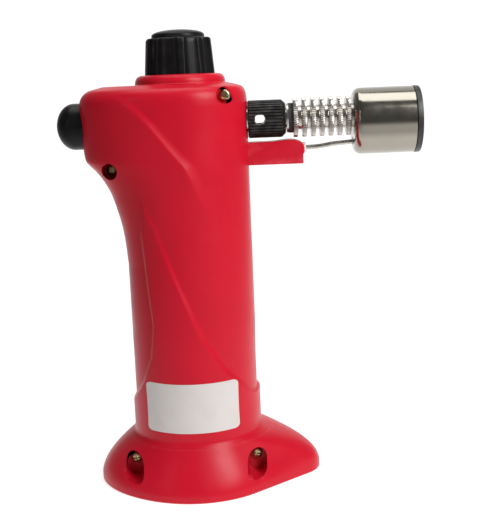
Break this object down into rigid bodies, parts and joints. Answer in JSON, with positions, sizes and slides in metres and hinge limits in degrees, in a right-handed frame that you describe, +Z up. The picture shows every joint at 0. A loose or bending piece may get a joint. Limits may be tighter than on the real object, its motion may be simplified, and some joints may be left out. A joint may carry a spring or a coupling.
{
  "type": "butane torch",
  "caption": "Table-top butane torch: flared foot, round handle, fluted flow knob on top, push igniter behind, finned burner with round flame head in front.",
  "frame": {"origin": "on the table, under the axis of the knob and the tank", "axes": "+Z up, +X towards the flame, -Y the side with the screw heads"},
  "size_m": [0.1432, 0.0728, 0.181],
  "materials": {
    "red_plastic": "satin moulded red",
    "black_plastic": "satin moulded black",
    "black_ring": "black",
    "polished_steel": "polished stainless",
    "nickel_plate": "nickel plated, turned",
    "brass": "turned",
    "zinc_screws": "yellow zinc",
    "spring_steel": "drawn wire",
    "rubber": "matt",
    "tank_plastic": "natural",
    "ceramic": "glazed white",
    "sticker_paper": "satin paper"
  },
  "bodies": {
    "torch": {"housing_near": "red_plastic", "housing_far": "red_plastic", "electrode_holder": "red_plastic", "base_cover": "red_plastic", "label_sticker": "sticker_paper", "case_screws": "zinc_screws", "rear_screw": "zinc_screws", "base_screws": "zinc_screws", "head_ring": "black_ring", "refill_spring": "spring_steel", "piezo_spring": "spring_steel", "valve_body": "brass", "valve_nut": "brass", "tank_plug": "brass", "supply_tube": "brass", "refill_body": "brass", "refill_nut": "brass", "jet_holder": "brass", "gas_jet": "brass", "earth_contact": "brass", "flame_holder": "brass", "needle_ring": "rubber", "tank_seal": "rubber", "refill_seal": "rubber", "fibre_washer": "rubber", "ignition_lead": "rubber", "fuel_tank": "tank_plastic", "dip_tube": "tank_plastic", "piezo_case": "tank_plastic", "electrode_insulator": "ceramic", "electrode_wire": "nickel_plate", "burner_tube": "nickel_plate", "steel_washer": "nickel_plate", "heat_sink": "nickel_plate", "flame_head": "polished_steel"},
    "knob": {"control_knob": "black_plastic", "knob_cap": "black_plastic", "knob_clip": "spring_steel", "valve_needle": "brass"},
    "button": {"igniter_button": "black_plastic", "piezo_plunger": "black_plastic"},
    "collar": {"air_collar": "black_plastic"},
    "refill": {"refill_stem": "brass"}
  },
  "joints": [
    {"name": "knob_turn", "type": "hinge", "parent": "torch", "child": "knob", "pos_m": [0, 0, 0.165], "axis": [0, 0, 1], "range_deg": [0, 270]},
    {"name": "button_press", "type": "slide", "parent": "torch", "child": "button", "axis": [1, 0, 0], "range_m": [0, 0.005], "stiffness_N_per_m": 800, "springref_m": -0.002, "deforming": ["piezo_spring"]},
    {"name": "collar_turn", "type": "hinge", "parent": "torch", "child": "collar", "pos_m": [0.033, 0, 0.1452], "axis": [1, 0, 0], "range_deg": [0, 90]},
    {"name": "refill_press", "type": "slide", "parent": "torch", "child": "refill", "axis": [0, 0, 1], "range_m": [0, 0.0015], "stiffness_N_per_m": 500, "springref_m": -0.001, "deforming": ["refill_spring"]}
  ]
}
